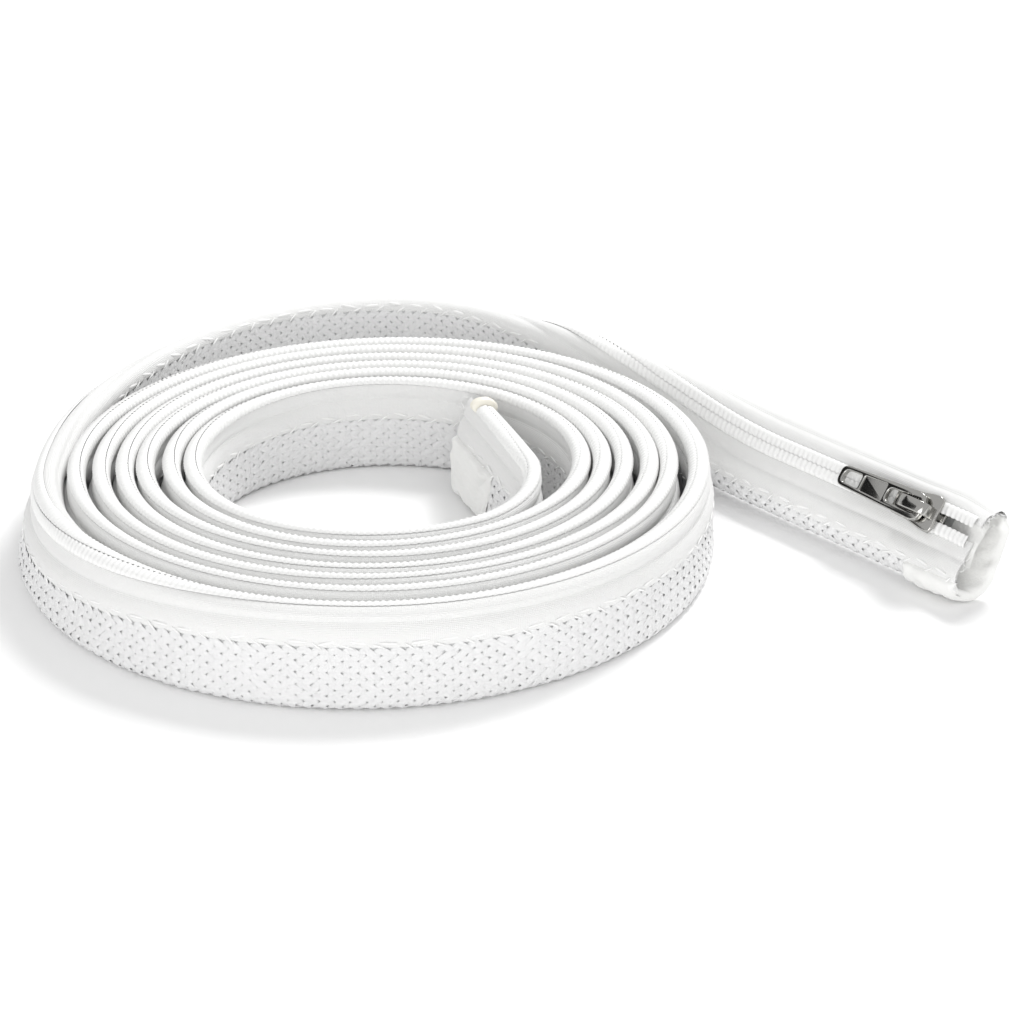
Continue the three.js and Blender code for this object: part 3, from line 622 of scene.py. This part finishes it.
def capsules(path, centres, rounds, out, half_length, half_width, height, turn):
    """Many small stitches laid on the sleeve: each is a low loaf of 7 by 5 points, with its long
    axis turned by that angle from the sleeve's. Returns points and faces."""
    a = np.linspace(-1, 1, 7)[:, None]
    b = np.linspace(-1, 1, 5)[None, :]
    body = np.sqrt(np.clip(1 - np.abs(a) ** 2.5, 0, 1))
    x = a * half_length + 0 * b
    y = b * half_width * np.maximum(body, 0.25)
    z = height * np.sqrt(np.clip(1 - b ** 2, 0, 1)) * body - height * 0.15
    turn = np.asarray(turn, float)[:, None, None]
    along = centres[:, None, None] + x * np.cos(turn) - y * np.sin(turn)
    round_ = rounds[:, None, None] + x * np.sin(turn) + y * np.cos(turn)
    points = skin(path, along, round_, out + z + 0 * along)
    k = np.arange(len(centres))[:, None, None] * 35
    corner = k + np.arange(6)[None, :, None] * 5 + np.arange(4)[None, None, :]
    faces = np.stack([corner, corner + 1, corner + 6, corner + 5], -1)
    return points.reshape(-1, 3), faces.reshape(-1, 4)


def seam_stitches(path, sleeve, made):
    """The bright overlock stitches along both seams between tape and braid: a coarser row and a
    finer, slanted row beside it."""
    rng = np.random.default_rng(3)
    points, faces, total = [], [], 0
    for side in (-1, 1):
        for edge, pitch, half_length, half_width, slant in (
                (8.15, sleeve.stitch_pitch, 1.45, 0.22, 0.10),
                (8.85, sleeve.stitch_pitch, 1.0, 0.17, -0.55)):
            centres = np.arange(8.0, path["end"] - 4, pitch) + (edge - 8.15) * 2.4
            centres = centres + rng.normal(0, 0.12, len(centres))
            rounds = at(path, "shift", centres) + side * (edge + rng.normal(0, 0.1, len(centres)))
            turn = side * (slant + rng.normal(0, 0.12, len(centres)))
            out = 0.50 if edge < 8.5 else 0.42
            p, f = capsules(path, centres, rounds, out, half_length, half_width, 0.18, turn)
            points.append(p)
            faces.append(f + total)
            total += len(p)
    return mesh_object("seam_stitches", np.concatenate(points), np.concatenate(faces), made)


def hem(path, name, made, ends_at, inwards, long_, wrinkle, corner, seed):
    """Binding cloth folded over one end of the braid: up the outside, round a full rim and a short
    way back inside. Slow waves and a pucker at its sewn edge make it uneven. Its two side edges
    are rounded down to the braid, and the section's top and bottom draw back at the end."""
    rng = np.random.default_rng(seed)
    rim = np.linspace(-np.pi / 2, np.pi / 2, 9)
    outer = [(long_, 0.30), (long_ - 0.15, 0.75), (long_ - 0.6, 1.0), (long_ - 1.6, 0.88),
             (long_ - 2.2, 0.80), (long_ - 2.8, 0.98)]
    outer += [(s, 1.05) for s in np.linspace(long_ - 4, 1.6, 6)]
    turn = [(0.95 - 0.95 * math.cos(a), -1.05 * math.sin(a)) for a in rim]
    inner = [(s, -1.05) for s in np.linspace(1.6, 7, 5)] + [(7.4, -0.4)]
    profile = np.array(outer + turn + inner)
    across = np.linspace(0, 1, 57)
    along = ends_at + inwards * profile[:, 0]
    low, high = braid_span(path, along, HEM_EDGE)
    round_ = low[:, None] + (high - low)[:, None] * across
    edge = np.clip(np.minimum(across, 1 - across) / 0.035, 0, 1) ** 0.5
    wave = np.zeros((len(along), 57))
    for _ in range(5):
        f, g, phase = rng.uniform(2, 9), rng.uniform(0.15, 0.7), rng.uniform(0, 6)
        wave += wrinkle * np.sin(f * across * 6 + g * profile[:, :1] * 3 + phase)
    out = profile[:, 1:] * (0.15 + 0.85 * edge) + wave * edge
    mouth = ease(2.5 - profile[:, 0], 0, 2.5)[:, None]
    reach = along[:, None] + 0.5 * mouth * np.sin(across * 9 + seed) * -inwards * edge
    crown = np.abs(np.cos(np.pi * round_ / at(path, "half", along)[:, None])) ** 5
    reach = reach + inwards * corner * crown * ease(7 - profile[:, :1], 0, 7)
    points = skin(path, reach, round_, out)
    uv = np.stack(np.broadcast_arrays(profile[:, :1], round_), -1)
    faces = grid_faces(len(along), 57)
    return mesh_object(name, points, faces if inwards < 0 else faces[:, ::-1], made, uv)


def lining_fold(path, made):
    """The lining's loose folds inside the mouth, under the open end of the zip: two soft humps,
    bell curves along and across, that sink to the wall at their edges."""
    a, b = np.linspace(0, 1, 25)[:, None], np.linspace(-1, 1, 33)[None, :]
    behind = 0.5 + 8.0 * a + 0 * b
    along = path["end"] - behind
    round_ = at(path, "shift", along) + 5.6 * b
    edge = np.clip(1 - b ** 6, 0, 1) * ease(1.05 - a, 0, 0.3)
    humps = np.exp(-((behind - 2.4) / 1.9) ** 2 - ((b - 0.38) / 0.34) ** 2)
    humps = humps + 0.9 * np.exp(-((behind - 3.6) / 2.2) ** 2 - ((b + 0.36) / 0.36) ** 2)
    out = -2.3 + edge * (0.5 + 1.35 * humps)
    points = skin(path, along, round_, out)
    return mesh_object("lining_fold", points, grid_faces(25, 33)[:, ::-1], made)


def loose_threads(path, made):
    """Frayed ends at both ends of the tapes: thin curved threads as four-sided tubes."""
    rng = np.random.default_rng(5)
    points, faces, total = [], [], 0
    for end, way, count in ((0.7, -1, 26), (path["end"] - 0.4, 1, 12)):
        for _ in range(count):
            side = rng.choice((-1, 1))
            base = at(path, "shift", end) + side * rng.uniform(0.9, 7.6)
            reach = rng.uniform(1.0, 2.6) if way < 0 else rng.uniform(0.4, 1.1)
            t = np.linspace(0, 1, 6)
            around = base + rng.normal(0, 0.7) * t ** 2
            line = skin(path, np.full(6, end), around, rng.uniform(-0.1, 0.3))
            heading = float(at(path, "heading", end))
            line[:, 0] += way * np.cos(heading) * t * reach
            line[:, 1] += way * np.sin(heading) * t * reach
            line[:, 2] += rng.normal(0, 0.5) * t ** 2
            ring = np.array([[0, 1, 0], [0, 0, 1], [0, -1, 0], [0, 0, -1]]) * 0.09
            ring = ring @ np.array([[1, 0, 0], [-np.sin(heading), np.cos(heading), 0], [0, 0, 1]])
            tube = line[:, None, :] + ring * (1 - 0.6 * t)[:, None, None]
            points.append(tube.reshape(-1, 3))
            faces.append(grid_faces(6, 4, total, closed=True)[:, ::way])
            total += 24
    return mesh_object("frayed_threads", np.concatenate(points), np.concatenate(faces), made)


def end_stop(path, made):
    """The melted stop: a rounded lump across the chain near the inner end."""
    a, b = np.linspace(-1, 1, 17)[:, None], np.linspace(-1, 1, 21)[None, :]
    along = 5.2 + 1.1 * a + 0 * b
    round_ = at(path, "shift", along) + 2.1 * b
    body = (1 - np.abs(a) ** 5) ** 0.5 * (1 - np.abs(b) ** 5) ** 0.5
    lump = 0.12 * np.sin(7 * a + 2) * np.cos(5 * b)
    points = skin(path, along, round_, 0.1 + 1.5 * body + lump * body)
    return mesh_object("melted_stop", points, grid_faces(17, 21), made)


# The metal pieces.

PULL_PIVOT = (-2.75, 0.0, 3.025)


def slider_place(path):
    """Matrix from the slider's own frame to the route's frame in mm: nose at x = 0 pointing along
    +X, middle of the tapes at z = 0, z square to the flank that the zip lies on."""
    scene = bpy.context.scene
    route, slider = millimetres(scene.route), millimetres(scene.slider)
    along = path["end"] - route.even
    foot = Vector(skin(path, along, route.tail_shift, 0.0))
    normal = (Vector(skin(path, along, route.tail_shift, 1.0)) - foot).normalized()
    forward = Vector((1, 0, 0))
    across = normal.cross(forward)
    turn = Matrix((forward, across, normal)).transposed().to_4x4()
    return Matrix.Translation(foot + forward * (route.even - slider.from_mouth)) @ turn


def outline(points, rounds, steps=5):
    """A closed outline with each corner rounded by its own radius."""
    out = []
    n = len(points)
    for i, (point, radius) in enumerate(zip(points, rounds)):
        here = Vector(point)
        before = (Vector(points[i - 1]) - here)
        after = (Vector(points[(i + 1) % n]) - here)
        cut = min(radius, before.length * 0.49, after.length * 0.49)
        if cut < 1e-4:
            out.append(tuple(here))
            continue
        a, b = here + before.normalized() * cut, here + after.normalized() * cut
        for k in range(steps + 1):
            t = k / steps
            out.append(tuple(a * (1 - t) ** 2 + here * 2 * t * (1 - t) + b * t ** 2))
    return out


def stamped(name, outlines, low, high, bevel, place):
    """A plate cut to outlines in x and y, the first its edge and the others its holes, with all
    of its edges rounded. Returns the mesh's points in mm and its polygons."""
    curve = bpy.data.curves.new(name, "CURVE")
    curve.dimensions = "2D"
    curve.fill_mode = "BOTH"
    curve.extrude = (high - low) / 2 - bevel
    curve.bevel_depth = bevel
    curve.bevel_resolution = 2
    curve.offset = -bevel
    for line in outlines:
        spline = curve.splines.new("POLY")
        spline.points.add(len(line) - 1)
        for point, (x, y) in zip(spline.points, line):
            point.co = (x, y, 0, 1)
        spline.use_cyclic_u = True
    obj = bpy.data.objects.new(name, curve)
    bpy.context.scene.collection.objects.link(obj)
    graph = bpy.context.evaluated_depsgraph_get()
    mesh = bpy.data.meshes.new_from_object(obj.evaluated_get(graph))
    bpy.data.objects.remove(obj)
    bpy.data.curves.remove(curve)
    mesh.transform(place @ Matrix.Translation((0, 0, (low + high) / 2)))
    return mesh


def joined(name, meshes, made):
    """One object from several meshes whose points are in mm."""
    whole = bmesh.new()
    for mesh in meshes:
        whole.from_mesh(mesh)
        bpy.data.meshes.remove(mesh)
    bmesh.ops.remove_doubles(whole, verts=whole.verts, dist=1e-3)
    bmesh.ops.recalc_face_normals(whole, faces=whole.faces)
    bmesh.ops.scale(whole, vec=(MM, MM, MM), verts=whole.verts)
    mesh = bpy.data.meshes.new(name)
    whole.to_mesh(mesh)
    whole.free()
    mesh.materials.clear()
    mesh.materials.append(made)
    mesh.polygons.foreach_set("material_index", np.zeros(len(mesh.polygons), np.int32))
    mesh.polygons.foreach_set("use_smooth", np.ones(len(mesh.polygons), bool))
    mesh.set_sharp_from_angle(angle=math.radians(35))
    obj = bpy.data.objects.new(name, mesh)
    bpy.context.scene.collection.objects.link(obj)
    return obj


SIDEWAYS = Matrix(((1, 0, 0, 0), (0, 0, -1, 0), (0, 1, 0, 0), (0, 0, 0, 1)))


def slider_body(path, slider, made):
    """The casting: a lower and an upper plate with rounded noses, the wedge between them at the
    nose, and lips down the upper plate's sides."""
    place = slider_place(path)
    back, ht, hn = -slider.body, slider.half_tail, slider.half_nose
    edge = outline([(back, -ht), (-6.2, -ht), (-2.2, -hn), (0, -hn), (0, hn), (-2.2, hn),
                    (-6.2, ht), (back, ht)], [0.8, 3, 3, 1.9, 1.9, 3, 3, 0.8])
    top = slider.channel + slider.plate
    parts = [
        stamped("upper", [edge], slider.channel, top, 0.26, place),
        stamped("lower", [edge], slider.slot_low - slider.plate, slider.slot_low, 0.26, place),
    ]
    wedge = outline([(-5, 0), (-2.4, -0.65), (-0.4, -0.65), (-0.4, 0.65), (-2.4, 0.65)],
                    [0.1, 1, 0.3, 0.3, 1])
    parts.append(stamped("wedge", [wedge], slider.slot_low - 0.4, slider.channel + 0.4, 0.05,
                         place))
    lip = 0.55
    for side in (-1, 1):
        line = [(back + 0.5, side * ht), (-6.2, side * ht), (-2.2, side * hn),
                (-1.0, side * hn), (-1.0, side * (hn - lip)), (-2.2, side * (hn - lip)),
                (-6.2, side * (ht - lip)), (back + 0.5, side * (ht - lip))]
        shape = outline(line[::side], [0.2, 2, 2, 0.2, 0.2, 2, 2, 0.2])
        parts.append(stamped("lip", [shape], slider.slot_high, slider.channel + 0.4, 0.1, place))
    return joined("slider_casting", parts, made)


def slider_bridge(path, slider, made):
    """The arch over the slider: a strip bent up from a long sloping foot, level over the tab's
    end bar and turned down at the nose."""
    base = slider.channel + slider.plate
    high = base + slider.bridge
    side = [(-8.3, base + 0.02), (-7.6, high - 0.9), (-5.6, high), (-1.9, high), (-0.9, high - 1),
            (-0.9, base + 0.02), (-1.7, base + 0.02), (-1.7, high - 0.8), (-5.9, high - 0.8),
            (-6.9, base + 1.1), (-7.3, base + 0.02)]
    shape = outline(side, [0.1, 1.2, 1.4, 1.0, 0.9, 0.1, 0.1, 0.5, 0.9, 0.7, 0.1])
    strip = stamped("bridge", [shape], -1.1, 1.1, 0.22, slider_place(path) @ SIDEWAYS)
    return joined("bridge_arch", [strip], made)


def locking_leaf(path, slider, made):
    """The leaf that lies on the plate under the arch, with its pin through the plate."""
    base = slider.channel + slider.plate + 0.15
    leaf = outline([(-6.85, -0.5), (-3.85, -0.5), (-3.85, 0.5), (-6.85, 0.5)], [0.2] * 4)
    pin = outline([(-6.85, -0.4), (-6.15, -0.4), (-6.15, 0.4), (-6.85, 0.4)], [0.1] * 4)
    place = slider_place(path)
    return joined("spring_leaf", [stamped("leaf", [leaf], base, base + 0.3, 0.06, place),
                                  stamped("pin", [pin], base - 1.1, base + 0.1, 0.05, place)],
                  made)


def pull_tab(path, slider, made):
    """The tab: a frame that narrows to its tip, open at the eye and at the window, closed by a
    thinner panel between them."""
    place = slider_place(path) @ Matrix.Translation(PULL_PIVOT)
    place = place @ Matrix.Rotation(-slider.tab_drop, 4, "Y")
    front, back = 0.65, 0.65 - slider.tab

    def half(x):
        return 1.9 + 0.8 * (x - back) / slider.tab

    def slot(a, b, inset, rounds):
        return outline([(a, -half(a) + inset), (b, -half(b) + inset), (b, half(b) - inset),
                        (a, half(a) - inset)], rounds)

    edge = outline([(back, -half(back)), (front, -half(front)), (front, half(front)),
                    (back, half(back))], [1.5, 2.3, 2.3, 1.5], 8)
    eye = slot(front - 8.5, front - 1.3, 1.15, [1.0, 1.2, 1.2, 1.0])
    window = slot(back + 1.0, back + 5.0, 0.8, [0.9, 0.5, 0.5, 0.9])
    panel = slot(back + 5.6, back + 10.9, 0.75, [0.3] * 4)
    thick = slider.tab_thick / 2
    frame_ = stamped("frame", [edge, eye, window, panel], -thick, thick, 0.2, place)
    inner = slot(back + 5.3, back + 11.2, 0.55, [0.3] * 4)
    plate = stamped("panel", [inner], -thick + 0.2, thick - 0.22, 0.03, place)
    return joined("tab_plate", [frame_, plate], made)


# Operators.


def settle(obj, body, slot, *nodes):
    """Makes the piece ride its body and stand for CAD nodes, whose parts it hides. The slot is not
    used.
    """
    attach(obj, body)
    if nodes:
        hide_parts(*nodes)
    return obj


class PieceOperator:
    """What the piece operators share: the settings in mm and the route."""

    bl_options = {"REGISTER", "UNDO"}

    def execute(self, context):
        """Builds the pieces of this operator."""
        scene = context.scene
        self.build(lay_out(), millimetres(scene.sleeve), millimetres(scene.slider),
                   scene.colours)
        return {"FINISHED"}


class SLEEVE_OT_braid(PieceOperator, bpy.types.Operator):
    """Build the braid's lower layer and its two families of strands."""

    bl_idname = "sleeve.braid"
    bl_label = "Braid"

    def build(self, path, sleeve, slider, colours):
        made = filament_material(colours)
        settle(braid_ground(path, painted_shade_ground_material(colours)), "sleeve", "braid", "braid")
        settle(braid_family(path, sleeve, made, 1, "braid_strands_right"), "sleeve", "braid")
        settle(braid_family(path, sleeve, made, -1, "braid_strands_left"), "sleeve", "braid")


class SLEEVE_OT_zip(PieceOperator, bpy.types.Operator):
    """Build the tapes, the chain, the seam and the stop."""

    bl_idname = "sleeve.zip"
    bl_label = "Zip"

    def build(self, path, sleeve, slider, colours):
        cloth, nylon = tape_material(colours), chain_material(colours)
        for side, word in ((-1, "outer"), (1, "inner")):
            settle(tape(path, sleeve, cloth, side, f"tape_{word}"), "sleeve", "tape",
                   f"zip_tape_{word}")
            settle(chain(path, sleeve, nylon, side, f"chain_{word}"), "sleeve", "nylon_coil",
                   f"zip_coil_{word}")
        settle(seam_stitches(path, sleeve, thread_material(colours)), "sleeve", "tape")
        settle(end_stop(path, stop_material(colours)), "sleeve", "stop", "zip_end_stop")


class SLEEVE_OT_hems(PieceOperator, bpy.types.Operator):
    """Build the hems at both ends, the lining's folds and the frayed threads there."""

    bl_idname = "sleeve.hems"
    bl_label = "Hems"

    def build(self, path, sleeve, slider, colours):
        cloth = hem_material(colours)
        mouth = hem(path, "mouth_binding", cloth, path["end"], -1, sleeve.mouth_hem, 0.07, 1.2, 4)
        settle(mouth, "sleeve", "hem_cloth", "mouth_hem")
        end = hem(path, "end_binding", cloth, 0, 1, sleeve.end_hem, 0.12, 4.5, 9)
        settle(end, "sleeve", "hem_cloth", "end_hem")
        settle(lining_fold(path, cloth), "sleeve", "hem_cloth")
        settle(loose_threads(path, thread_material(colours)), "sleeve", "tape")


class SLEEVE_OT_slider(PieceOperator, bpy.types.Operator):
    """Build the slider, its bridge, its leaf and the pull tab."""

    bl_idname = "sleeve.slider"
    bl_label = "Slider and tab"

    def build(self, path, sleeve, slider, colours):
        metal = nickel_material(colours)
        settle(slider_body(path, slider, metal), "slider", "nickel", "slider_body")
        settle(slider_bridge(path, slider, metal), "slider", "nickel", "slider_bridge")
        settle(locking_leaf(path, slider, metal), "slider", "nickel", "locking_leaf")
        settle(pull_tab(path, slider, metal), "pull", "nickel", "pull_tab")


def area_light(name, place, aim, size, watts):
    """A square area light that points at a place."""
    data = bpy.data.lights.new(name, "AREA")
    data.shape, data.size, data.energy = "SQUARE", size, watts
    lamp = bpy.data.objects.new(name, data)
    lamp.location = place
    lamp.rotation_euler = (Vector(aim) - Vector(place)).to_track_quat("-Z", "Y").to_euler()
    bpy.context.scene.collection.objects.link(lamp)
    return lamp


class SLEEVE_OT_stage(bpy.types.Operator):
    """Make the floor, the two lights, the dark card and the camera."""

    bl_idname = "sleeve.stage"
    bl_label = "Stage"
    bl_options = {"REGISTER", "UNDO"}

    def execute(self, context):
        """The camera stands where the fit to the photograph puts it, turned with the route."""
        scene = context.scene
        stage, colours = scene.stage, scene.colours
        path = lay_out()
        turn = path["spin"] - COIL_START
        c, s = math.cos(turn), math.sin(turn)

        def placed(x, y, z):
            """A place in the photograph's axes, in metres, taken to the row frame."""
            x, y = x - FITTED_CENTRE[0] * MM, y - FITTED_CENTRE[1] * MM
            return Vector((x * c - y * s + path["move"][0] * MM,
                           x * s + y * c + path["move"][1] * MM, z))

        aim = placed(stage.aim_x, stage.aim_y, stage.aim_z)
        back = Vector((s * math.cos(stage.elevation), -c * math.cos(stage.elevation),
                       math.sin(stage.elevation)))
        data = bpy.data.cameras.new("camera")
        data.lens, data.sensor_width = stage.lens, 36
        data.clip_start, data.clip_end = 0.01, 20
        camera = bpy.data.objects.new("camera", data)
        camera.location = aim + back * stage.distance
        camera.rotation_mode = "QUATERNION"
        camera.rotation_quaternion = (-back).to_track_quat("-Z", "Y")
        scene.collection.objects.link(camera)
        scene.camera = camera

        paper = material("white_paper_floor", colours.floor, 0.9)[0]
        floor = mesh_object("floor", np.array([[-4, -4, 0], [4, -4, 0], [4, 4, 0], [-4, 4, 0]])
                            / MM, [[0, 1, 2, 3]], paper, smooth=False)
        world = bpy.data.worlds.new("white_room")
        world.use_nodes = True
        world.node_tree.nodes["Background"].inputs["Color"].default_value = (1, 1, 1, 1)
        world.node_tree.nodes["Background"].inputs["Strength"].default_value = stage.fill
        scene.world = world
        area_light("key", placed(0.34, 0.5, 0.74), placed(0.02, 0, 0.01), 0.3, stage.key)
        area_light("front", placed(-0.12, -0.7, 0.13), placed(0, 0, 0.01), 0.5, stage.front)
        ink = material("black_card", colours.flag, 0.95)[0]
        away = Vector(path["pivot"]) + Vector(CARD_WAY) * CARD_DISTANCE
        sideways = Vector(CARD_WAY).cross(Vector((0, 0, 1))).normalized() * CARD_HALF[0]
        upwards = sideways.cross(Vector(CARD_WAY)).normalized() * CARD_HALF[1]
        corners = [away - sideways - upwards, away + sideways - upwards,
                   away + sideways + upwards, away - sideways + upwards]
        card = mesh_object("dark_card", np.array([list(corner) for corner in corners]) / MM,
                           [[0, 1, 2, 3]], ink, smooth=False)
        # Only the metal's reflections see the card, so it neither shows nor shades anything.
        card.visible_camera = card.visible_diffuse = card.visible_shadow = False
        scene.view_settings.view_transform = "Standard"
        return {"FINISHED"}


class SLEEVE_PT_panel(bpy.types.Panel):
    """Sizes, colours and the build buttons."""

    bl_idname = "SLEEVE_PT_panel"
    bl_label = "Cable sleeve"
    bl_space_type = "VIEW_3D"
    bl_region_type = "UI"
    bl_category = "Sleeve"

    def draw(self, context):
        """One button per operator, then each group's values."""
        for operator in OPERATORS:
            self.layout.operator(operator.bl_idname)
        for name in GROUPS:
            box = self.layout.box()
            group = getattr(context.scene, name)
            for key in type(group).__annotations__:
                box.prop(group, key)


OPERATORS = (SLEEVE_OT_braid, SLEEVE_OT_zip, SLEEVE_OT_hems, SLEEVE_OT_slider, SLEEVE_OT_stage)
GROUPS = {"sleeve": SleeveSettings, "route": RouteSettings, "slider": SliderSettings,
          "colours": ColourSettings, "stage": StageSettings}


def register():
    """Registers the groups, the operators and the panel."""
    for name, group in GROUPS.items():
        bpy.utils.register_class(group)
        setattr(bpy.types.Scene, name, PointerProperty(type=group))
    for operator in (*OPERATORS, SLEEVE_PT_panel):
        bpy.utils.register_class(operator)


def unregister():
    """Takes them out again."""
    for operator in reversed((*OPERATORS, SLEEVE_PT_panel)):
        bpy.utils.unregister_class(operator)
    for name, group in GROUPS.items():
        delattr(bpy.types.Scene, name)
        bpy.utils.unregister_class(group)


def main():
    """Builds everything."""
    register()
    for operator in (bpy.ops.sleeve.braid, bpy.ops.sleeve.zip, bpy.ops.sleeve.hems,
                     bpy.ops.sleeve.slider, bpy.ops.sleeve.stage):
        if operator() != {"FINISHED"}:
            raise RuntimeError("an operator didn't finish")


if __name__ == "__main__":
    main()
